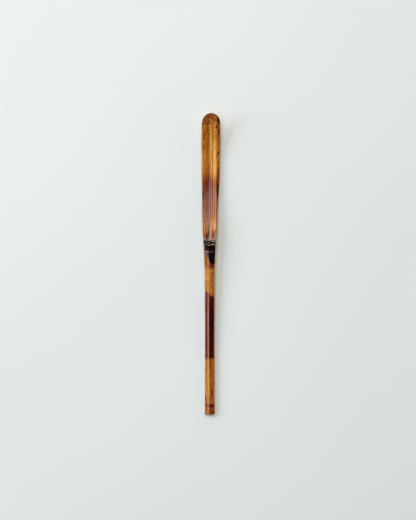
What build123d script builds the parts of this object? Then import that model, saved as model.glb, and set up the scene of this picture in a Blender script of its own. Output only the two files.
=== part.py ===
"""A bamboo tea scoop, carved from one strip of bamboo and bent up at the tip.

It lies on its back: +Y runs from the cut end to the tip, +X to the right as seen
from above, and +Z from the table up to the bamboo's skin side.  Stations are
distances from the cut end.  The origin is on the table, under the middle.
"""
from build123d import *
import math
import os

# ---- Driving dimensions, in millimetres ----
length = 181.8            # six sun, the customary length
stem_width = 5.8          # at the cut end
waist_width = 5.6         # the narrowest place, on the stem
node_width = 7.3          # over the node's ridge
blade_width = 11.4        # the widest place, behind the tip
tip_reach = 6.1           # length of the half ellipse that rounds the tip
tip_height = 12.0         # how far the bend lifts the underside of the tip
node_lift = 2.3           # how far the arch lifts the underside of the node
stem_depth = 2.7          # skin to back, on the stem
blade_depth = 2.1         # skin to back, on the blade
culm_radius = 14.0        # the bamboo that the strip was split from
trough_depth = 0.5        # how far the blade's middle lies below its rims
back_rounding = 1.0       # how far the blade's back rises towards its edges
section_change = 30.0     # from the node on, where the stem's section turns into the blade's

node_station = 103.8      # middle of the node's ridge
ridge_length = 3.4        # along the stem
ridge_height = 0.55       # above the skin
sheath_station = 98.5     # the scar where the culm sheath was attached
sheath_length = 1.2
sheath_height = 0.25
bud_length = 1.8          # the bud's scar, on the node's ridge
bud_width = 3.0
bud_height = 0.5
bud_offset = -0.45        # to the left of the stem's middle

rest_length = 30.0        # the flat stretch of the back, at the cut end
rest_shaving = 0.06       # shaved off the back where it touches the table, to lie steady
edge_round = 0.35         # radius along the long edges
stem_lean = -0.65         # the stem's middle, left of the blade's middle
clearance = 3.0           # how far the cutting surfaces run past the outline

stem_rows = 40            # rows of the cutting surfaces, from the cut end to the scar
node_rows = 56            # close together, over the scar and the ridge
blade_rows = 34           # from the node to the tip
surface_columns = 13      # across the scoop
before_scar = 4.0         # the close rows start this far before the sheath's scar
past_ridge = 5.0          # and end this far past the ridge

# ---- The scoop along its length: (station, value) pairs ----
half_widths = [
    (0, stem_width / 2),
    (22, stem_width / 2 - 0.02),
    (41, waist_width / 2),
    (72, waist_width / 2 + 0.04),
    (88, waist_width / 2 + 0.28),
    (98, node_width / 2 - 0.25),
    (108, node_width / 2 + 0.32),
    (118, node_width / 2 + 0.83),
    (130, blade_width / 2 - 0.85),
    (144, blade_width / 2 - 0.3),
    (158, blade_width / 2 - 0.14),
    (167, blade_width / 2),
    (length - tip_reach, blade_width / 2 - 0.05),
]
middles = [(0, stem_lean), (118, stem_lean), (142, -0.1), (165, 0.03), (length, 0.4)]
back_heights = [
    (0, 0),
    (rest_length, 0),
    (64, 0.4 * node_lift),
    (90, 0.92 * node_lift),
    (100, node_lift),
    (108, 0.9 * node_lift),
    (125, 0.3 * node_lift),
    (140, 0.01),
    (148, 0),
    (156, 0.03 * tip_height),
    (164, 0.125 * tip_height),
    (170, 0.27 * tip_height),
    (175, 0.49 * tip_height),
    (179, 0.77 * tip_height),
    (length, tip_height),
]
depths = [
    (0, stem_depth),
    (95, stem_depth + 0.1),
    (125, blade_depth + 0.2),
    (150, blade_depth),
    (length, blade_depth),
]


def value_at(pairs, station):
    """Read a smooth curve through (station, value) pairs, level beyond its ends."""
    if station <= pairs[0][0]:
        return pairs[0][1]
    if station >= pairs[-1][0]:
        return pairs[-1][1]
    right = next(i for i, pair in enumerate(pairs) if pair[0] > station)
    left = right - 1
    span = pairs[right][0] - pairs[left][0]
    step = (station - pairs[left][0]) / span
    start_rise = slope_at(pairs, left) * span
    end_rise = slope_at(pairs, right) * span
    cube = step ** 3
    square = step ** 2
    return ((2 * cube - 3 * square + 1) * pairs[left][1] + (cube - 2 * square + step) * start_rise
            + (3 * square - 2 * cube) * pairs[right][1] + (cube - square) * end_rise)


def slope_at(pairs, index):
    """Give the curve's slope at one of its points: level wherever the values turn or rest."""
    if index in (0, len(pairs) - 1):
        return end_slope(pairs, index)
    before = slope_between(pairs, index - 1)
    after = slope_between(pairs, index)
    if before * after <= 0:
        return 0.0
    return 2 * before * after / (before + after)


def slope_between(pairs, index):
    """Give the straight slope from one point to the next."""
    return (pairs[index + 1][1] - pairs[index][1]) / (pairs[index + 1][0] - pairs[index][0])


def end_slope(pairs, index):
    """Give the slope at the first or the last point: that of the span beside it."""
    return slope_between(pairs, 0 if index == 0 else index - 1)


def blade_share(station):
    """Give 0 on the stem and 1 on the blade, with a smooth change past the node."""
    step = min(max((station - node_station) / section_change, 0), 1)
    return step * step * (3 - 2 * step)


def back_height(x, station):
    """Give the height of the shaved back, flat on the stem and rounded on the blade."""
    across = (x - value_at(middles, station)) / (blade_width / 2)
    low_point = value_at(back_heights, station) - rest_shaving
    return low_point + back_rounding * blade_share(station) * across ** 2


def swelling(station, middle, reach):
    """Give a smooth hump along the scoop: 1 at its middle, 0 beyond its reach."""
    step = min(abs(station - middle) / reach, 1)
    return (1 - step * step) ** 2


def skin_height(x, station):
    """Give the height of the skin: round like the culm on the stem, a trough on the blade."""
    off_middle = x - value_at(middles, station)
    crown = value_at(back_heights, station) + value_at(depths, station)
    culm_drop = culm_radius - math.sqrt(culm_radius ** 2 - off_middle ** 2)
    rim_rise = trough_depth * (off_middle / (blade_width / 2)) ** 2
    share = blade_share(station)
    ridge = ridge_height * swelling(station, node_station, ridge_length / 2)
    scar = sheath_height * swelling(station, sheath_station, sheath_length / 2)
    return crown - (1 - share) * culm_drop + share * rim_rise + ridge + scar


def surface_stations():
    """List the stations of a cutting surface: wide apart, but close together at the node."""
    node_start = sheath_station - before_scar
    node_end = node_station + past_ridge
    stem_step = (node_start + clearance) / stem_rows
    node_step = (node_end - node_start) / node_rows
    blade_step = (length + clearance - node_end) / blade_rows
    on_stem = [-clearance + row * stem_step for row in range(stem_rows)]
    on_node = [node_start + row * node_step for row in range(node_rows)]
    on_blade = [node_end + row * blade_step for row in range(blade_rows + 1)]
    return on_stem + on_node + on_blade


def cutting_surface(height):
    """Make a smooth face from a height formula, a little larger than the scoop."""
    half_span = blade_width / 2 + clearance
    grid = []
    for column in range(surface_columns):
        x = half_span * (2 * column / (surface_columns - 1) - 1)
        points = [Vector(x, station - length / 2, height(x, station)) for station in surface_stations()]
        grid.append(points)
    return Face.make_surface_from_array_of_points(grid, tol=0.005, min_deg=3, max_deg=5)


def edge_points(side):
    """List the outline's points on the left (-1) or right (+1) side, from the cut end."""
    return [(value_at(middles, station) + side * half_width, station - length / 2)
            for station, half_width in half_widths]


def outline_face():
    """Draw the scoop as seen from above: a straight cut, two long curves and a round tip."""
    right = edge_points(1)
    left = edge_points(-1)
    tip_middle = ((right[-1][0] + left[-1][0]) / 2, right[-1][1])
    with BuildSketch() as plan:
        with BuildLine():
            Spline(*right, tangents=((0, 1), (0, 1)))
            EllipticalCenterArc(tip_middle, half_widths[-1][1], tip_reach, start_angle=0, arc_size=180)
            Spline(*reversed(left), tangents=((0, -1), (0, -1)))
            Line(left[0], right[0])
        make_face()
    return plan.sketch.face()


def blank():
    """Cut the strip to its outline, then to its skin above and its shaved back below."""
    tall = tip_height + blade_depth + 2 * clearance
    plank = Pos(0, 0, -clearance) * extrude(outline_face(), amount=tall)
    below_skin = Solid.extrude(cutting_surface(skin_height), Vector(0, 0, -2 * tall))
    above_back = Solid.extrude(cutting_surface(back_height), Vector(0, 0, 2 * tall))
    return (plank & below_skin & above_back).solid()


def rounded_blank():
    """Round the edges that a hand meets: all of them but those of the straight cut."""
    carved = blank()
    cut_y = -length / 2 + 0.01
    edges = [edge for edge in carved.edges() if edge.bounding_box().max.Y > cut_y]
    return carved.fillet(edge_round, edges)


def bud_scar():
    """Shape the scar of the bud: a low oval lump on the node's ridge."""
    station = node_station
    x = value_at(middles, station) + bud_offset
    foot = skin_height(x, station) - ridge_height / 2
    lump = scale(Sphere(1), by=(bud_width / 2, bud_length / 2, bud_height))
    return Pos(x, station - length / 2, foot) * lump


def shave_to_rest(strip):
    """Shave the back flat on the table plane, at the cut end and under the blade's belly."""
    reach = length + 2 * clearance
    above_table = Box(reach, reach, reach, align=(Align.CENTER, Align.CENTER, Align.MIN))
    return strip & above_table


def tea_scoop():
    """Join the scar of the bud to the carved, rounded and shaved strip."""
    return (shave_to_rest(rounded_blank()) + bud_scar()).solid()


os.makedirs("parts", exist_ok=True)
scoop = tea_scoop()
print("tea scoop", round(scoop.volume, 1), "mm3", scoop.bounding_box())
export_step(scoop, "parts/tea_scoop.step")
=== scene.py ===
# %% [markdown]
# # A tea scoop of smoked bamboo
#
# The real scoop is one strip, split from a thin bamboo that hung for generations in the
# smoke of a hearth.  The strip keeps its skin on top.  Its back and sides are pared with
# a knife, and the wide end is steamed and bent up.  Nothing is joined to it, so this
# lesson makes a single mesh with a great deal of care, and three finishes for it: the
# smoked skin, the pared wood and the sawn end.

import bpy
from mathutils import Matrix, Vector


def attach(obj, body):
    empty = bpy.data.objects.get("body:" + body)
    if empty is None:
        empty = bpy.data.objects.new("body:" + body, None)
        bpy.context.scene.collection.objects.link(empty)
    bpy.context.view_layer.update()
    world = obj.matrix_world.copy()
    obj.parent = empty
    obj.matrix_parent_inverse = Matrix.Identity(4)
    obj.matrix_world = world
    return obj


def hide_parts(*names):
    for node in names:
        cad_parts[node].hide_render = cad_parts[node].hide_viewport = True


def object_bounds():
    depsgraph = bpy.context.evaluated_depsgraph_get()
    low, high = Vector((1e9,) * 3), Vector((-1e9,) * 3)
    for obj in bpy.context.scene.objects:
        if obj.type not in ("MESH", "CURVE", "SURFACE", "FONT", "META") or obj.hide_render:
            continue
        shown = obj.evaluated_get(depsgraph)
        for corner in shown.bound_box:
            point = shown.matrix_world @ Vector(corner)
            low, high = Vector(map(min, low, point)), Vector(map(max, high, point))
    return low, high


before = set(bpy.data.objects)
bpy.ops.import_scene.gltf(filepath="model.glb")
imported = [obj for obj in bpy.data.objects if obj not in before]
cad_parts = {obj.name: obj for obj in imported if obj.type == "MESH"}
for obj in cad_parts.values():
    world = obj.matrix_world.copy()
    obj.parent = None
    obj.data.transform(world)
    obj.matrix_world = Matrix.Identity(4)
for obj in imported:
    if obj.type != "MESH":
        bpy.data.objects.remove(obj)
cad_low, cad_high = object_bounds()
print("CAD box in mm:", [round(1000 * side, 1) for side in cad_high - cad_low])

# %% [markdown]
# ## Measures
#
# The scoop is drawn in millimetres and scaled to metres when its mesh is finished, as a
# carver thinks in millimetres.  A station is a distance from the sawn end, so it reads
# like a ruler laid along the scoop.  The length, the width of the blade and the rise of
# the tip come from the CAD box.  The box is a little wider than the blade, by the drift of
# the blade's middle line to one side.  The stem, the waist and the node are given as
# shares of the blade's width.

# %% Measures, in millimetres
import bpy
import bmesh
import math
from mathutils import Vector, noise

mm = 0.001
length = (cad_high.y - cad_low.y) / mm
middle_drift = 0.16
half_blade = ((cad_high.x - cad_low.x) / mm - middle_drift) / 2
skin_over_tip = 1.4
tip_lift = cad_high.z / mm - skin_over_tip
half_stem = 0.508 * half_blade
half_waist = 0.492 * half_blade
half_node = 0.64 * half_blade
node_station = 103.8
scar_station = 98.5
stem_lean = -0.65
tip_reach = 6.1
skin_to_back = 2.7
blade_thickness = 2.1
for part, half in (("stem", half_stem), ("waist", half_waist), ("blade", half_blade)):
    print(part, round(2 * half, 2), "mm across")

# %% [markdown]
# ## Curves along the scoop
#
# A carver checks the strip at a few places and lets the knife make the run between them
# fair.  This function does the same: it reads a smooth curve through a handful of
# points, without the overshoot that an ordinary spline has beside a flat stretch.


# %% Reading a fair curve
def slope_at(points, index):
    """Give the curve's slope at a point: level where the values turn or rest."""
    steps = [(b[1] - a[1]) / (b[0] - a[0]) for a, b in zip(points, points[1:])]
    if index == 0:
        return steps[0]
    if index == len(points) - 1:
        return steps[-1]
    before = steps[index - 1]
    after = steps[index]
    if before * after <= 0:
        return 0.0
    return 2 * before * after / (before + after)


def read_curve(points, at):
    """Read a fair curve through points at a place, level beyond its ends."""
    if at <= points[0][0]:
        return points[0][1]
    if at >= points[-1][0]:
        return points[-1][1]
    right = next(i for i, point in enumerate(points) if point[0] > at)
    start, end = points[right - 1], points[right]
    span = end[0] - start[0]
    t = (at - start[0]) / span
    leave = slope_at(points, right - 1) * span
    arrive = slope_at(points, right) * span
    blend = t * t * (3 - 2 * t)
    return start[1] + (end[1] - start[1]) * blend + t * (1 - t) * ((1 - t) * leave - t * arrive)


half_widths = [
    (0, half_stem),
    (22, half_stem - 0.02),
    (41, half_waist),
    (72, half_waist + 0.04),
    (88, half_waist + 0.28),
    (98, half_node - 0.25),
    (108, half_node + 0.32),
    (118, half_node + 0.83),
    (130, half_blade - 0.85),
    (144, half_blade - 0.3),
    (158, half_blade - 0.14),
    (167, half_blade),
    (length - tip_reach, half_blade - 0.05),
]
middles = [(0, stem_lean), (118, stem_lean), (142, -0.1), (165, 0.03), (length, 0.4)]
backs = [
    (0, 0.0),
    (30, 0.0),
    (64, 0.9),
    (90, 2.1),
    (100, 2.3),
    (108, 2.1),
    (125, 0.7),
    (140, 0.0),
    (148, 0.0),
    (156, 0.03 * tip_lift),
    (164, 0.125 * tip_lift),
    (170, 0.27 * tip_lift),
    (175, 0.49 * tip_lift),
    (179, 0.77 * tip_lift),
    (length, tip_lift),
]
thicknesses = [
    (0, skin_to_back),
    (95, skin_to_back + 0.1),
    (125, blade_thickness + 0.2),
    (150, blade_thickness),
    (170, blade_thickness),
    (length, blade_thickness - 0.6),
]
print("width at the node:", round(2 * read_curve(half_widths, node_station), 2))

# %% [markdown]
# ## The skin's section
#
# Below the node the skin is a low roof, as on most thin culms: a narrow face slopes to
# the left, a wider one rolls off to the right.  Above the node the bamboo has the groove
# that its branch bud pressed into it.  The groove makes the scoop's bowl: two valleys
# with a low line between them, and a rim on each side.  It grows shallower towards the
# tip.  Sections are given as curves across the strip, in millimetres from a line ruled
# along the scoop near its middle.

# %% Sections across the strip
ruled_line = -0.4
roof_line = -0.42
groove = [
    (-6.2, 0.12),
    (-5.0, 0.36),
    (-4.4, 0.40),
    (-0.3, 0.0),
    (1.1, 0.28),
    (1.6, 0.23),
    (3.7, 0.56),
    (6.4, -0.15),
]


def smooth_step(low, high, value):
    """Rise smoothly from 0 at low to 1 at high."""
    t = min(max((value - low) / (high - low), 0), 1)
    return t * t * (3 - 2 * t)


def roof_drop(across):
    """Give how far the stem's skin lies below its roof line."""
    off = across - roof_line
    soft = math.sqrt(off * off + 0.1 ** 2) - 0.1
    rounding = 0.045 if off < 0 else 0.035
    return 0.09 * soft + rounding * off * off


def blade_share(station):
    """Give 0 below the node and 1 above it, changing just past the ridge."""
    return smooth_step(node_station + 1, node_station + 14, station)


def stem_share(station):
    """Give 1 on the stem and 0 at the node, where the skin is nearly level across."""
    return smooth_step(scar_station + 3, scar_station - 5, station)


print("roof drop at the stem's edges:", round(roof_drop(-3.1), 2), round(roof_drop(2.6), 2))

# %% [markdown]
# ## The node
#
# A node is where the culm had a wall inside and a leaf sheath outside.  Three things
# mark it on the skin: the ridge, which arches over the bud; the scar of the bud, an oval
# pit with a rim; and further down the thin raised line where the sheath was attached.
# They are small, but they are what a tea person looks at first, so they are modelled in
# the mesh.  The skin's finish also paints a pale highlight on their lines, where their gloss
# would catch the light.

# %% Relief of the node
bud_across = -0.7
bud_station = 104.0
ridge_crest = [(-3.8, 105.1), (-0.6, 105.6), (1.2, 105.0), (3.8, 103.7)]
ridge_foot = [(-3.8, 102.9), (-0.9, 102.6), (1.2, 102.9), (3.8, 102.2)]


def hump(distance, reach):
    """Give a smooth hump: 1 at no distance, 0 beyond its reach."""
    t = min(abs(distance) / reach, 1)
    return (1 - t * t) ** 2


def node_relief(across, station):
    """Give the height of the ridge, the bud's scar and the sheath's scar above the skin."""
    swell = 0.22 * hump(station - node_station, 3.4)
    crest = 0.18 * hump(station - read_curve(ridge_crest, across), 0.75)
    foot = 0.14 * hump(station - read_curve(ridge_foot, across), 0.5)
    from_bud = math.hypot((across - bud_across) / 1.35, (station - bud_station) / 0.95)
    rim = 0.14 * hump(from_bud - 1, 0.45)
    pit = -0.26 * hump(from_bud - 0.55, 0.4)
    past_scar = station - scar_station
    scar = 0.14 * hump(past_scar - 0.08 * math.sin(1.7 * across), 0.3)
    below_scar = -0.07 * smooth_step(0.4, 0.0, past_scar) * smooth_step(-9, -1, past_scar)
    return swell + crest + foot + rim + pit + scar + below_scar


print("ridge above the skin:", round(node_relief(2.5, node_station), 2), "mm")


# %% Heights of the skin and the back
def skin_height(x, station):
    """Give the height of the skin, from the stem's roof to the blade's groove."""
    crown = read_curve(backs, station) + read_curve(thicknesses, station)
    across = x - ruled_line
    fading = 1 - 0.6 * smooth_step(length - 14, length - 2, station)
    rolled_off = 0.008 * across ** 2
    section = blade_share(station) * (fading * read_curve(groove, across) + rolled_off) - rolled_off
    section -= stem_share(station) * (roof_drop(across) - rolled_off)
    return crown + section + node_relief(across, station)


def back_height(x, station):
    """Give the height of the pared back, which shows the knife's long shallow cuts."""
    off_middle = (x - read_curve(middles, station)) / half_blade
    rounding = smooth_step(node_station, node_station + 30, station) * off_middle ** 2
    under_node = 0.25 * hump(station - node_station, 4)
    cuts = 0.05 * noise.noise(Vector((0.5 * x, station / 14, 3.0))) * smooth_step(28, 45, station)
    return max(read_curve(backs, station) + rounding + under_node + cuts, 0.0)


print("arch under the node:", round(back_height(0.0, node_station), 2), "mm")
print("skin at the node:", round(skin_height(0.0, node_station), 2), "mm")

# %% [markdown]
# ## Drawing the strip
#
# The strip starts as a flat grid.  Its rows are spread along the scoop, close together at
# the node, and its last rows are rounded into half an ellipse for the tip: a square is
# turned into a disc by drawing its corners in, which keeps the faces four-sided.  The
# grid is drawn one rim's width too small all round.  Its border is then extruded and
# pushed out, which adds the rim, an even band that the rounding of the edge will use.
# The grid also runs on past the stem's end, where a saw cut squares it off.

# %% The flat strip
rim = 0.6
columns = 28
rows = 330
row_places = [(-1.0, -1.5), (-0.42, 96.0), (0.15, 107.0), (1.0, length - rim)]


def place_on_strip(across, along):
    """Turn grid places, -1 to 1 each way, into x and station on the strip less its rim."""
    station = read_curve(row_places, along)
    straight_end = length - tip_reach
    if station <= straight_end:
        width = read_curve(half_widths, station) - rim
        return read_curve(middles, station) + across * width, station
    v = (station - straight_end) / (tip_reach - rim)
    width = half_widths[-1][1] - rim
    bent_station = straight_end + (tip_reach - rim) * v * math.sqrt(1 - across * across / 2)
    return read_curve(middles, bent_station) + across * width * math.sqrt(1 - v * v / 2), bent_station


strip = bmesh.new()
bmesh.ops.create_grid(strip, x_segments=columns, y_segments=rows, size=1.0)
for vertex in strip.verts:
    x, station = place_on_strip(vertex.co.x, vertex.co.y)
    vertex.co = (x, station - length / 2, 0)
print("flat strip:", len(strip.faces), "faces")

# %% The rim
border = [edge for edge in strip.edges if edge.is_boundary]
made = bmesh.ops.extrude_edge_only(strip, edges=border)
rim_vertices = [item for item in made["geom"] if isinstance(item, bmesh.types.BMVert)]
pushes = {}
for vertex in rim_vertices:
    before, after = [edge.other_vert(vertex).co for edge in vertex.link_edges if edge.is_boundary]
    run = (after - before).normalized()
    outward = Vector((run.y, -run.x, 0))
    inside = Vector((0, min(vertex.co.y, length / 2 - tip_reach), 0))
    pushes[vertex] = outward if outward.dot(vertex.co - inside) > 0 else -outward
for vertex, outward in pushes.items():
    vertex.co += rim * outward
print("with its rim:", len(strip.faces), "faces")

# %% The saw cut
everything = strip.verts[:] + strip.edges[:] + strip.faces[:]
bmesh.ops.bisect_plane(
    strip, geom=everything, plane_co=(0, -length / 2, 0), plane_no=(0, -1, 0),
    clear_outer=True, clear_inner=False,
)
stations = [vertex.co.y for vertex in strip.verts]
print("strip length:", round(max(stations) - min(stations), 2), "mm")

# %% [markdown]
# ## Giving it thickness
#
# The flat strip is extruded straight down.  Each upper vertex then takes the height of the
# skin at its place and each lower vertex the height of the back, so the section changes
# all along the scoop while the outline stays exactly as drawn.

# %% Skin above, back below
for vertex in strip.verts:
    vertex.co.z = skin_height(vertex.co.x, vertex.co.y + length / 2)
made = bmesh.ops.extrude_face_region(strip, geom=strip.faces[:])
lower = [item for item in made["geom"] if isinstance(item, bmesh.types.BMVert)]
for vertex in lower:
    vertex.co.z = back_height(vertex.co.x, vertex.co.y + length / 2)
bmesh.ops.recalc_face_normals(strip, faces=strip.faces[:])
print("volume:", round(strip.calc_volume()), "mm3")

# %% [markdown]
# ## Rounding the edges
#
# The carver breaks the long edges with the knife's back and rubs them smooth, so the
# skin's edge gets a round bevel and the back's edge a wider, flatter one.  The sawn end
# stays crisp: only a hair is taken off it.


# %% Edges
def long_edges(of_skin):
    """List the edges between the side and the skin, or between the side and the back."""
    found = []
    for edge in strip.edges:
        if len(edge.link_faces) != 2:
            continue
        upright = [abs(face.normal.z) < 0.02 for face in edge.link_faces]
        if upright.count(True) != 1:
            continue
        other = edge.link_faces[upright.index(False)]
        on_end = all(v.co.y < -length / 2 + 0.01 for v in edge.verts)
        if (other.normal.z > 0) == of_skin and not on_end:
            found.append(edge)
    return found


skin_edges = long_edges(True)
bmesh.ops.bevel(
    strip, geom=skin_edges, offset=0.32, offset_type="OFFSET", affect="EDGES",
    segments=4, profile=0.5, material=-1, clamp_overlap=False,
)
back_edges = long_edges(False)
bmesh.ops.bevel(
    strip, geom=back_edges, offset=0.5, offset_type="OFFSET", affect="EDGES",
    segments=2, profile=0.5, material=-1, clamp_overlap=False,
)
print("rounded", len(skin_edges), "skin edges and", len(back_edges), "back edges")


# %% The sawn end
def at_sawn_end(face, slack):
    """Say whether a face looks along the scoop and lies at its sawn end."""
    return face.normal.y < -0.99 and face.calc_center_median().y < slack - length / 2


end_faces = [face for face in strip.faces if at_sawn_end(face, 0.001)]
end_loop = [edge for edge in strip.edges if sum(face in end_faces for face in edge.link_faces) == 1]
bmesh.ops.bevel(
    strip, geom=end_loop, offset=0.09, offset_type="OFFSET", affect="EDGES",
    segments=2, profile=0.5, material=-1, clamp_overlap=False,
)
print("sawn end:", len(end_faces), "faces,", len(end_loop), "edges")

# %% [markdown]
# ## Three surfaces on one strip
#
# Each face gets one of three materials: 0 is the skin with its rounded edge, 1 is the pared
# wood of the sides and back, 2 is the sawn end.  A vertex attribute holds how deep a place
# lies below the skin, 0 at the skin and 1 at the back, because bamboo is dense and dark
# outside and pale inside, and the wood's finish needs to know.

# %% Materials by face, and depth below the skin
skin_share = 0.2
depth_layer = strip.verts.layers.float.new("below_skin")
for vertex in strip.verts:
    station = vertex.co.y + length / 2
    top = skin_height(vertex.co.x, station)
    bottom = back_height(vertex.co.x, station)
    vertex[depth_layer] = min(max((top - vertex.co.z) / (top - bottom), 0), 1)
for face in strip.faces:
    face.smooth = True
    depth = sum(v[depth_layer] for v in face.verts) / len(face.verts)
    sawn = at_sawn_end(face, 0.02)
    face.material_index = 2 if sawn else (0 if depth < skin_share else 1)
    if sawn:
        face.smooth = False

mesh = bpy.data.meshes.new("carved_scoop")
bmesh.ops.scale(strip, vec=(mm, mm, mm), verts=strip.verts)
strip.to_mesh(mesh)
strip.free()
scoop = bpy.data.objects.new("carved_scoop", mesh)
bpy.context.scene.collection.objects.link(scoop)
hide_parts("tea_scoop")
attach(scoop, "root")
print("scoop:", len(mesh.polygons), "faces")

# %% [markdown]
# ## Tools for the finishes
#
# Colours are written as hex values, as a screen shows them, and one function turns them
# to the linear light that the shader works in.  A second function adds a node, sets its
# inputs and links it, so each finish reads as a list of steps.


# %% Colour and node helpers
def colour(hex_value):
    """Turn an sRGB hex value into linear red, green, blue and an alpha of 1."""
    parts = [int(hex_value[i:i + 2], 16) / 255 for i in (1, 3, 5)]
    return [c / 12.92 if c <= 0.04045 else ((c + 0.055) / 1.055) ** 2.4 for c in parts] + [1.0]


def add(tree, kind, inputs, output=0, stops=(), **settings):
    """Add a node, set its settings, inputs and ramp stops, and give one of its outputs."""
    node = tree.nodes.new("ShaderNode" + kind)
    for name, value in settings.items():
        setattr(node, name, value)
    for name, value in inputs.items():
        if isinstance(value, bpy.types.NodeSocket):
            tree.links.new(value, node.inputs[name])
        else:
            node.inputs[name].default_value = value
    for number, (place, value) in enumerate(stops):
        elements = node.color_ramp.elements
        element = elements[number] if number < 2 else elements.new(place)
        element.position = place
        element.color = colour(value) if isinstance(value, str) else (value, value, value, 1)
    return node.outputs[output]


def start_finish(name):
    """Start a named material and give it with its tree and its shader."""
    material = bpy.data.materials.new(name)
    material.use_nodes = True
    return material, material.node_tree, material.node_tree.nodes["Principled BSDF"]


smooth = {"interpolation_type": "SMOOTHSTEP"}
print("honey reads as", [round(c, 3) for c in colour("#c08a40")])

# %% [markdown]
# ## Where the smoke reached
#
# Bamboo under a hearth's roof is tied to the rafters with straw rope.  Where the rope
# lay, the smoke's stain is different, so the culm comes down with bands across it: honey
# where it was covered, deep red-brown where soot and heat worked in.  The bands end
# almost square on the dense skin of the stem, and in ragged tongues on the blade, whose
# fibres drank the stain unevenly.  One number stands for all of this: the depth of the
# smoke, 0 for honey and 1 for black.  It is read along the scoop from a ramp, then
# worked over with tongues, with painted light and shade across the strip, and with single
# marks.  So the same number also carries that painted light and shade.

# %% The smoke's depth along the scoop, and its single marks
smoke_along = [
    (0.0, 0.36), (4.2, 0.34), (5.0, 0.62), (5.9, 0.62), (6.7, 0.22), (20.3, 0.16), (31.4, 0.20),
    (33.3, 0.18), (34.5, 0.70), (50.4, 0.74), (66.6, 0.76), (73.4, 0.74), (74.6, 0.14), (80.6, 0.12),
    (88.0, 0.07), (89.2, 0.40), (97.0, 0.46), (105.6, 0.50), (108.2, 0.44), (111.0, 0.32),
    (115.0, 0.22), (118.7, 0.44), (130.8, 0.56), (140.0, 0.54), (146.4, 0.22), (152.8, 0.14),
    (168.9, 0.16), (172.9, 0.20), (176.4, 0.26), (178.9, 0.34), (length, 0.40),
]
# Each mark is: across, station, half width, half length, depth.
smoke_marks = [
    (4.9, 177.2, 0.75, 2.6, 1.0),
    (4.0, 173.6, 0.5, 0.9, 0.7),
    (5.3, 171.4, 0.6, 3.0, 0.66),
    (-3.6, 168.9, 0.5, 4.5, 0.50),
    (-3.6, 161.8, 0.4, 1.6, 0.52),
    (-3.6, 178.5, 1.0, 1.2, 0.46),
    (0.2, 180.6, 1.6, 0.5, 0.50),
    (5.1, 158.3, 0.5, 1.7, 0.86),
    (5.1, 152.4, 0.4, 1.0, 0.72),
    (5.0, 145.3, 0.5, 6.0, 0.72),
    (4.7, 135.6, 0.9, 7.0, 1.0),
    (-4.2, 133.1, 0.65, 4.8, 1.0),
    (-4.2, 126.1, 0.4, 1.6, 0.86),
    (-0.95, 110.8, 0.5, 5.4, 0.92),
    (-1.6, 107.0, 1.3, 2.8, 0.90),
    (1.7, 108.6, 0.42, 3.8, 0.72),
    (-3.6, 107.4, 0.8, 2.6, 0.56),
    (0.3, 113.6, 0.3, 3.0, 0.62),
    (1.5, 90.8, 0.42, 2.6, 0.98),
    (1.5, 84.8, 0.35, 2.0, 0.44),
    (0.9, 80.6, 1.6, 0.55, 0.42),
    (1.1, 77.6, 1.3, 0.6, 0.40),
    (1.2, 13.2, 0.36, 3.6, 0.70),
    (-2.7, 9.7, 0.5, 3.0, 0.60),
    (2.2, 1.6, 1.0, 1.6, 0.72),
    (0.6, 28.0, 0.5, 2.6, 0.34),
]
print(len(smoke_along), "stops along the scoop and", len(smoke_marks), "single marks")

# %% [markdown]
# The marks are ovals, so they need a place in millimetres that is nudged about by noise:
# without it their outlines would look drawn with a compass.  The noise is stretched along
# the scoop, as every stain in bamboo runs along its fibres.  The black patch below the
# node is no oval: it is a square of soot with a corner cut off at a slant.


# %% Reading the smoke's depth on the surface
def place_in_mm(tree):
    """Give the surface's place in millimetres, and its distance across and station."""
    metres = add(tree, "TexCoord", {}, output="Object")
    place = add(tree, "VectorMath", {0: metres, 1: (1 / mm,) * 3}, operation="MULTIPLY")
    x = add(tree, "SeparateXYZ", {0: place})
    across = add(tree, "Math", {0: x, 1: ruled_line}, operation="SUBTRACT")
    station = add(tree, "Math", {0: x.node.outputs["Y"], 1: length / 2}, operation="ADD")
    return place, across, station


def fibres(tree, place, width, run, detail=2.0):
    """Give streaks along the scoop, of a width and a run in millimetres, from -0.5 to 0.5."""
    per_streak = (1 / width, 1 / run, 1 / width)
    stretched = add(tree, "VectorMath", {0: place, 1: per_streak}, operation="MULTIPLY")
    noise_inputs = {"Vector": stretched, "Scale": 1.0, "Detail": detail, "Roughness": 0.6}
    streaks = add(tree, "TexNoise", noise_inputs)
    return add(tree, "Math", {0: streaks, 1: 0.5}, operation="SUBTRACT")


def oval(tree, place, mark):
    """Give an oval mark on the skin: its depth inside, 0 outside."""
    across, station, half_width, half_length, depth = mark
    scale = (1 / half_width, 1 / half_length, 0)
    shift = (-across / half_width, -station / half_length, 0)
    local = add(tree, "VectorMath", {0: place, 1: scale, 2: shift}, operation="MULTIPLY_ADD")
    distance = add(tree, "VectorMath", {0: local}, output="Value", operation="LENGTH")
    edge = {"Value": distance, "From Min": 0.55, "From Max": 1.15, "To Min": depth, "To Max": 0.0}
    return add(tree, "MapRange", edge, **smooth)


def soot_patch(tree, across, station):
    """Give the black patch below the node: 1 inside its slanting left side, 0 outside."""
    slant = add(tree, "Math", {0: across, 1: 2.0, 2: station}, operation="MULTIPLY_ADD")
    patch = add(tree, "MapRange", {"Value": slant, "From Min": 91.2, "From Max": 92.8}, **smooth)
    sides = ((across, -3.55, -3.2), (across, 3.6, 3.2))
    ends = ((station, 102.5, 102.0), (station, 90.8, 91.5))
    for value, outside, inside in sides + ends:
        limit = {"Value": value, "From Min": outside, "From Max": inside}
        within = add(tree, "MapRange", limit, **smooth)
        patch = add(tree, "Math", {0: patch, 1: within}, operation="MULTIPLY")
    return patch


print("longest mark:", max(2 * mark[3] for mark in smoke_marks), "mm along the scoop")
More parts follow.
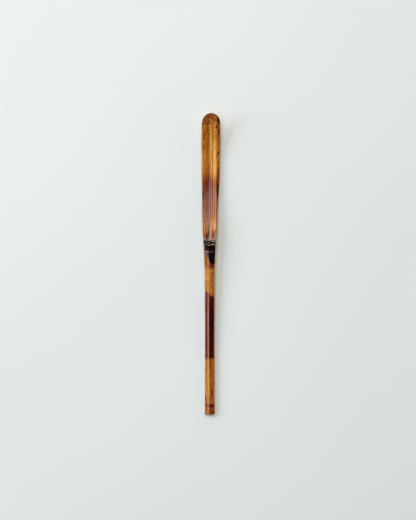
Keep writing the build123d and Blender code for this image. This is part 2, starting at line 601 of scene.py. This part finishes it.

# %% Painted light and shade across the scoop
# A level over 0.5 paints shade over the smoke's colour, and one under 0.5 paints light.
shading_reach = 6.4
blade_light_and_shade = [
    (-5.4, 0.52), (-4.7, 0.46), (-4.0, 0.62), (-3.2, 0.54), (-2.0, 0.60), (-1.2, 0.69), (-0.5, 0.62),
    (0.5, 0.38), (1.0, 0.44), (1.6, 0.55), (2.4, 0.40), (3.4, 0.39), (4.2, 0.50), (4.8, 0.64),
    (5.8, 0.60),
]


def light_and_shade_blade(tree, across, depth):
    """Give the blade's depth with painted light and shade: paler on slopes facing the window."""
    span = {"Value": across, "From Min": -shading_reach, "From Max": shading_reach}
    share = add(tree, "MapRange", span)
    stops = [((place + shading_reach) / (2 * shading_reach), level) for place, level in blade_light_and_shade]
    level = add(tree, "ValToRGB", {"Fac": share}, stops=stops)
    darker = add(tree, "Math", {0: level, 1: 0.5}, operation="SUBTRACT")
    return add(tree, "Math", {0: depth, 1: darker}, operation="ADD")


def stain_and_shade_stem(tree, across, depth):
    """Give the stem's depth, paler left of the roof line and darker right: own stain and painted
    shade.
    """
    right = add(tree, "MapRange", {"Value": across, "From Min": -0.6, "From Max": -0.3}, **smooth)
    lit_and_pale = add(tree, "Math", {0: depth, 1: 0.74, 2: 0.05}, operation="MULTIPLY_ADD")
    dark = add(tree, "Math", {0: depth, 1: 0.12}, operation="ADD")
    return add(tree, "Mix", {0: right, 2: lit_and_pale, 3: dark}, data_type="FLOAT")


# The levels across the blade are painted light and shade.
print("wiping across the blade:", len(blade_light_and_shade), "levels")

# %% Ragged and leaning ends of the bands, in millimetres
# The upper end of the stem's dark band leans across the roof line.  The lean is whole
# within 8 mm of the leaning end's station, and gone 15 mm from it.
groove_start = 104.0
groove_whole = 112.0
stem_tongues = 1.6
blade_tongues = 20.0
leaning_end = 70.0
end_lean = 2.2


def place_along_bands(tree, tongues, across, station):
    """Give the station at which the smoke's ramp is read, with tongues and a lean."""
    blade = {"Value": station, "From Min": groove_start, "From Max": groove_whole}
    blade.update({"To Min": stem_tongues, "To Max": blade_tongues})
    reach = add(tree, "MapRange", blade, **smooth)
    ragged = add(tree, "Math", {0: tongues, 1: reach, 2: station}, operation="MULTIPLY_ADD")
    over_roof = {"Value": across, "From Min": -0.9, "From Max": 0.3, "To Max": end_lean}
    lean = add(tree, "MapRange", over_roof, **smooth)
    from_end = add(tree, "Math", {0: station, 1: leaning_end}, operation="SUBTRACT")
    from_end = add(tree, "Math", {0: from_end}, operation="ABSOLUTE")
    near_end = add(tree, "MapRange", {"Value": from_end, "From Min": 15.0, "From Max": 8.0})
    return add(tree, "Math", {0: lean, 1: near_end, 2: ragged}, operation="MULTIPLY_ADD")


print("tongues on the blade:", blade_tongues, "mm; lean of the stem's band:", end_lean, "mm")


# %% The smoke's depth, put together
def smoke_depth(tree, place, across, station):
    """Give the smoke's depth at a place, with painted light and shade across the strip."""
    tongues = fibres(tree, place, 0.75, 9.0)
    along = place_along_bands(tree, tongues, across, station)
    share = add(tree, "Math", {0: along, 1: length}, operation="DIVIDE")
    stops = [(place_on / length, level) for place_on, level in smoke_along]
    depth = add(tree, "ValToRGB", {"Fac": share}, stops=stops)
    off_blade = {"Value": station, "From Min": groove_start, "From Max": 98.0}
    on_stem = add(tree, "MapRange", off_blade, **smooth)
    # Painted light and shade across the strip: by slope on the blade, by side of the roof line on the
    # stem.
    shaded_across = {0: on_stem, 2: light_and_shade_blade(tree, across, depth), 3: stain_and_shade_stem(tree, across, depth)}
    depth = add(tree, "Mix", shaded_across, data_type="FLOAT")
    nudge = fibres(tree, place, 1.2, 3.5)
    marked_x = add(tree, "Math", {0: nudge, 1: 0.5, 2: across}, operation="MULTIPLY_ADD")
    marked_y = add(tree, "Math", {0: tongues, 1: 2.4, 2: station}, operation="MULTIPLY_ADD")
    marked = add(tree, "CombineXYZ", {0: marked_x, 1: marked_y})
    for mark in smoke_marks:
        depth = add(tree, "Math", {0: depth, 1: oval(tree, marked, mark)}, operation="MAXIMUM")
    patch = soot_patch(tree, marked_x, station)
    return add(tree, "Math", {0: depth, 1: patch}, operation="MAXIMUM")


print("smoke half way up the stem's band:", round(read_curve(smoke_along, 54.0), 2))

# %% [markdown]
# ## The smoked skin
#
# The skin of a bamboo culm is hard and waxy.  A century of smoke and a lifetime of wiping
# leave it with a clear, wet-looking gloss over the colour, so the shader is a plain one
# with a low roughness.  The colour comes from the smoke's depth through one palette.  Fine
# fibres show through it as lighter and darker streaks, and as a bump of a few hundredths
# of a millimetre that keeps the gloss from looking like plastic.  Fibres are really
# 0.2 mm wide; they are drawn 0.45 mm wide here, because finer ones would not show at the
# camera's distance.  The stem is mottled too, and wrinkles run across the tip, where it
# was bent.  The node's lines and two streaks above it get a pale grey: a painted highlight
# where the ridges' gloss would catch the light, made a little rougher.  The darker the
# stain, the more it shines, but plain soot is matt.

# %% Smoked culm skin
fibre_width = 0.45
fibre_run = 36.0
bend_station = 170.0
smoke_palette = [
    (0.0, "#dca858"), (0.14, "#bb8234"), (0.30, "#9e5e18"), (0.45, "#864213"),
    (0.60, "#6e2910"), (0.75, "#521206"), (0.88, "#390902"), (1.0, "#06070b"),
]
# Painted highlights on the node's ridge, bud and sheath scar, and two streaks above it: across,
# station, half sizes, strength.
painted_node_highlights = [
    (-2.3, 105.35, 1.5, 0.30, 0.34),
    (-0.2, 105.65, 1.3, 0.32, 0.62),
    (1.9, 104.85, 1.6, 0.36, 0.55),
    (3.3, 103.95, 0.7, 0.30, 0.60),
    (-0.7, 102.55, 1.3, 0.30, 0.66),
    (1.6, 102.95, 1.3, 0.36, 0.70),
    (3.1, 102.55, 0.7, 0.28, 0.55),
    (-3.2, 103.0, 0.6, 0.60, 0.30),
    (-2.0, 98.55, 1.5, 0.30, 0.75),
    (0.6, 98.2, 0.7, 0.45, 0.20),
    (-0.8, 104.0, 0.55, 0.28, 0.42),
    (0.3, 107.6, 1.1, 2.8, 0.36),
    (2.9, 107.2, 0.8, 3.2, 0.30),
]


def smoked_skin():
    """Make the glossy skin of the culm, stained by smoke."""
    material, tree, shader = start_finish("smoked_bamboo_skin")
    place, across, station = place_in_mm(tree)
    depth = smoke_depth(tree, place, across, station)
    fine = fibres(tree, place, fibre_width, fibre_run, 3.0)
    broad = fibres(tree, place, 1.6, 30.0)
    depth = add(tree, "Math", {0: fine, 1: 0.62, 2: depth}, operation="MULTIPLY_ADD")
    depth = add(tree, "Math", {0: broad, 1: 0.40, 2: depth}, operation="MULTIPLY_ADD")
    patchy = {"Value": station, "From Min": groove_start, "From Max": groove_whole}
    patchy.update({"To Min": 0.34, "To Max": 0.12})
    mottle = {0: fibres(tree, place, 0.9, 1.8), 1: add(tree, "MapRange", patchy), 2: depth}
    depth = add(tree, "Math", mottle, operation="MULTIPLY_ADD")
    past_bend = {"Value": station, "From Min": bend_station, "From Max": bend_station + 5}
    past_bend["To Max"] = 0.7
    bend = add(tree, "MapRange", past_bend, **smooth)
    wrinkles = add(tree, "Math", {0: fibres(tree, place, 3.0, 0.55), 1: bend}, operation="MULTIPLY")
    depth = add(tree, "Math", {0: depth, 1: wrinkles}, operation="ADD", use_clamp=True)
    stain = add(tree, "ValToRGB", {"Fac": depth}, stops=smoke_palette)
    at_node = add(tree, "Math", {0: station, 1: node_station}, operation="SUBTRACT")
    at_node = add(tree, "Math", {0: at_node}, operation="ABSOLUTE")
    at_node = add(tree, "MapRange", {"Value": at_node, "From Min": 2.1, "From Max": 1.6}, **smooth)
    nudged_x = {0: fibres(tree, place, 0.9, 0.5), 1: 1.4, 2: across}
    highlight_x = add(tree, "Math", nudged_x, operation="MULTIPLY_ADD")
    nudged_y = {0: fibres(tree, place, 0.6, 0.7), 1: 0.9, 2: station}
    highlight_y = add(tree, "Math", nudged_y, operation="MULTIPLY_ADD")
    on_node = add(tree, "CombineXYZ", {0: highlight_x, 1: highlight_y})
    soot = add(tree, "Mix", {0: at_node, 6: stain, 7: colour("#14100e")}, output=2, data_type="RGBA")
    # Painted highlights: pale grey ovals where the gloss on the node's lines would catch the light.
    lit_and_pale = 0.0
    for line in painted_node_highlights:
        lit_and_pale = add(tree, "Math", {0: lit_and_pale, 1: oval(tree, on_node, line)}, operation="MAXIMUM")
    skin = add(tree, "Mix", {0: lit_and_pale, 6: soot, 7: colour("#b9a596")}, output=2, data_type="RGBA")
    tree.links.new(skin, shader.inputs["Base Color"])
    scuffs = fibres(tree, place, 2.5, 6.0)
    roughness = add(tree, "Math", {0: scuffs, 1: 0.1, 2: 0.16}, operation="MULTIPLY_ADD")
    rough_highlights = add(tree, "Math", {0: lit_and_pale, 1: 0.3, 2: roughness}, operation="MULTIPLY_ADD")
    tree.links.new(rough_highlights, shader.inputs["Roughness"])
    bump = add(tree, "Bump", {"Height": fine, "Distance": 0.03 * mm, "Strength": 0.8})
    tree.links.new(bump, shader.inputs["Normal"])
    shine = {"Value": depth, "From Min": 0.25, "From Max": 0.6, "To Min": 0.32, "To Max": 0.55}
    black = add(tree, "MapRange", {"Value": depth, "From Min": 0.86, "From Max": 0.98}, **smooth)
    sooty = add(tree, "Math", {0: black, 1: at_node}, operation="MAXIMUM")
    dulled = {0: sooty, 1: -0.36, 2: add(tree, "MapRange", shine)}
    shine = add(tree, "Math", dulled, operation="MULTIPLY_ADD")
    tree.links.new(shine, shader.inputs["Specular IOR Level"])
    shader.inputs["IOR"].default_value = 1.55
    return material


print("skin palette:", [hex_value for place, hex_value in smoke_palette])

# %% [markdown]
# ## The pared wood
#
# Under the skin bamboo is bundles of dark fibre in paler pith.  The bundles are small and
# crowded near the skin and wider apart inside, so a side that was cut with the knife
# grades from brown at its top to straw at its foot.  Smoke and oil from hands have
# darkened it, most of all near the skin, and it is less glossy than the skin.  The
# below_skin attribute drives the grading and the darkening.  Bundles are drawn 0.3 mm wide.

# %% Pared bamboo
wood_palette = [(0.0, "#7c3f16"), (0.3, "#985924"), (0.65, "#a96f34"), (1.0, "#b5803f")]


def pared_wood():
    """Make the knife-cut wood of the sides and the back."""
    material, tree, shader = start_finish("pared_bamboo")
    place, across, station = place_in_mm(tree)
    depth = smoke_depth(tree, place, across, station)
    below_skin = add(tree, "Attribute", {}, output="Fac", attribute_name="below_skin")
    bundles = fibres(tree, place, 0.30, 26.0, 3.0)
    grading = {0: bundles, 1: 1.3, 2: below_skin}
    uneven = add(tree, "Math", grading, operation="MULTIPLY_ADD", use_clamp=True)
    wood = add(tree, "ValToRGB", {"Fac": uneven}, stops=wood_palette)
    stain = add(tree, "ValToRGB", {"Fac": depth}, stops=smoke_palette)
    soaked = {"Value": below_skin, "From Min": 0.1, "From Max": 1.0, "To Min": 0.75, "To Max": 0.30}
    reach = add(tree, "MapRange", soaked, **smooth)
    stained = add(tree, "Mix", {0: reach, 6: wood, 7: stain}, output=2, data_type="RGBA")
    tree.links.new(stained, shader.inputs["Base Color"])
    roughness = add(tree, "Math", {0: bundles, 1: 0.3, 2: 0.5}, operation="MULTIPLY_ADD")
    tree.links.new(roughness, shader.inputs["Roughness"])
    bump = add(tree, "Bump", {"Height": bundles, "Distance": 0.05 * mm, "Strength": 0.8})
    tree.links.new(bump, shader.inputs["Normal"])
    return material


print("wood palette:", [hex_value for place, hex_value in wood_palette])

# %% [markdown]
# ## The sawn end
#
# The saw shows each bundle of fibre as a dot, crowded into a dark line under the skin and
# scattered below it.  Cells of about 0.4 mm with a dot in each give the dots, and the
# below_skin attribute gives the line.


# %% Sawn bamboo
def sawn_end():
    """Make the end grain, with the dots of the fibre bundles."""
    material, tree, shader = start_finish("sawn_bamboo_end")
    place = place_in_mm(tree)[0]
    below_skin = add(tree, "Attribute", {}, output="Fac", attribute_name="below_skin")
    flat = add(tree, "VectorMath", {0: place, 1: (2.6, 0.0, 3.0)}, operation="MULTIPLY")
    cells = add(tree, "TexVoronoi", {"Vector": flat, "Scale": 1.0, "Randomness": 0.8})
    dots = add(tree, "MapRange", {"Value": cells, "From Min": 0.42, "From Max": 0.26}, **smooth)
    crowd = add(tree, "MapRange", {"Value": below_skin, "From Min": 0.35, "From Max": 0.0}, **smooth)
    dark = add(tree, "Math", {0: dots, 1: crowd}, operation="MAXIMUM")
    grain = {0: dark, 6: colour("#b07a3c"), 7: colour("#5a2c10")}
    wood = add(tree, "Mix", grain, output=2, data_type="RGBA")
    tree.links.new(wood, shader.inputs["Base Color"])
    shader.inputs["Roughness"].default_value = 0.62
    return material


for finish in (smoked_skin(), pared_wood(), sawn_end()):
    scoop.data.materials.append(finish)
    print(finish.name, len(finish.node_tree.nodes), "nodes")

# %% [markdown]
# ## The table, the light and the camera
#
# The scoop lies on pale paper.  A wide soft window to the left throws the shadow, and a
# warmer one beyond the tip softens it.  A long strip overhead hangs a little to the left:
# its reflection is the shine on the left of the stem's roof.  The right of the roof gets
# no shine, and its colour is painted darker, partly as the skin's own deeper stain and
# partly as painted shade.  A warm wall all round fills the shadow.  The camera looks
# straight down through a long lens.

# %% Paper
floor_mesh = bpy.data.meshes.new("paper")
sheet = bmesh.new()
bmesh.ops.create_grid(sheet, x_segments=2, y_segments=2, size=2.0)
sheet.to_mesh(floor_mesh)
sheet.free()
paper = bpy.data.objects.new("paper", floor_mesh)
bpy.context.scene.collection.objects.link(paper)
material, tree, shader = start_finish("matt_paper")
place = add(tree, "TexCoord", {}, output="Object")
mottle = add(tree, "TexNoise", {"Vector": place, "Scale": 5.0, "Detail": 2.0})
tints = {0: mottle, 6: colour("#dbeaf3"), 7: colour("#e0eff9")}
tint = add(tree, "Mix", tints, output=2, data_type="RGBA")
tree.links.new(tint, shader.inputs["Base Color"])
shader.inputs["Roughness"].default_value = 0.9
shader.inputs["Specular IOR Level"].default_value = 0.1
paper.data.materials.append(material)
print("paper:", len(floor_mesh.polygons), "faces")


# %% Lights
def window(name, place, width, height, power, tint):
    """Hang a soft rectangular light at a place, facing the scoop."""
    lamp = bpy.data.lights.new(name, "AREA")
    lamp.shape = "RECTANGLE"
    lamp.size = width
    lamp.size_y = height
    lamp.energy = power
    lamp.color = colour(tint)[:3]
    hung = bpy.data.objects.new(name, lamp)
    hung.location = place
    hung.rotation_mode = "QUATERNION"
    hung.rotation_quaternion = (-Vector(place)).to_track_quat("-Z", "Y")
    bpy.context.scene.collection.objects.link(hung)
    print(name, power, "W")


daylight = "#f2f7ff"
window("left_window", (-1.73, 0.48, 0.99), width=1.76, height=1.2, power=30.0, tint=daylight)
window("far_window", (-0.08, 0.62, 1.13), width=1.0, height=0.92, power=9.0, tint="#fff1df")
window("ceiling_strip", (-0.36, 0.0, 1.27), width=0.9, height=0.2, power=2.8, tint=daylight)

# %% The room: a warm wall all round, and dark overhead
world = bpy.data.worlds.new("warm_room")
bpy.context.scene.world = world
world.use_nodes = True
room = world.node_tree
direction = add(room, "TexCoord", {}, output="Generated")
up = add(room, "SeparateXYZ", {0: direction}, output="Z")
below = {"Value": up, "From Min": 0.62, "From Max": 0.42, "To Max": 1.2}
walls = add(room, "MapRange", below, **smooth)
near = {"Value": up.node.outputs["Y"], "From Min": -0.9, "From Max": 0.0, "To Min": 0.35}
glow = add(room, "Math", {0: walls, 1: add(room, "MapRange", near, **smooth)}, operation="MULTIPLY")
background = room.nodes["Background"]
background.inputs["Color"].default_value = colour("#ffdcae")
room.links.new(glow, background.inputs["Strength"])
bpy.context.scene.view_settings.view_transform = "Standard"
print("room:", len(room.nodes), "nodes")

# %% Camera, straight above
camera_data = bpy.data.cameras.new("above")
camera_data.lens = 135.0
camera_data.sensor_width = 36.0
camera = bpy.data.objects.new("above", camera_data)
camera.location = (-0.0016, 0.00265, 1.183)
bpy.context.scene.collection.objects.link(camera)
bpy.context.scene.camera = camera
print("camera looks down from", camera.location.z, "m")
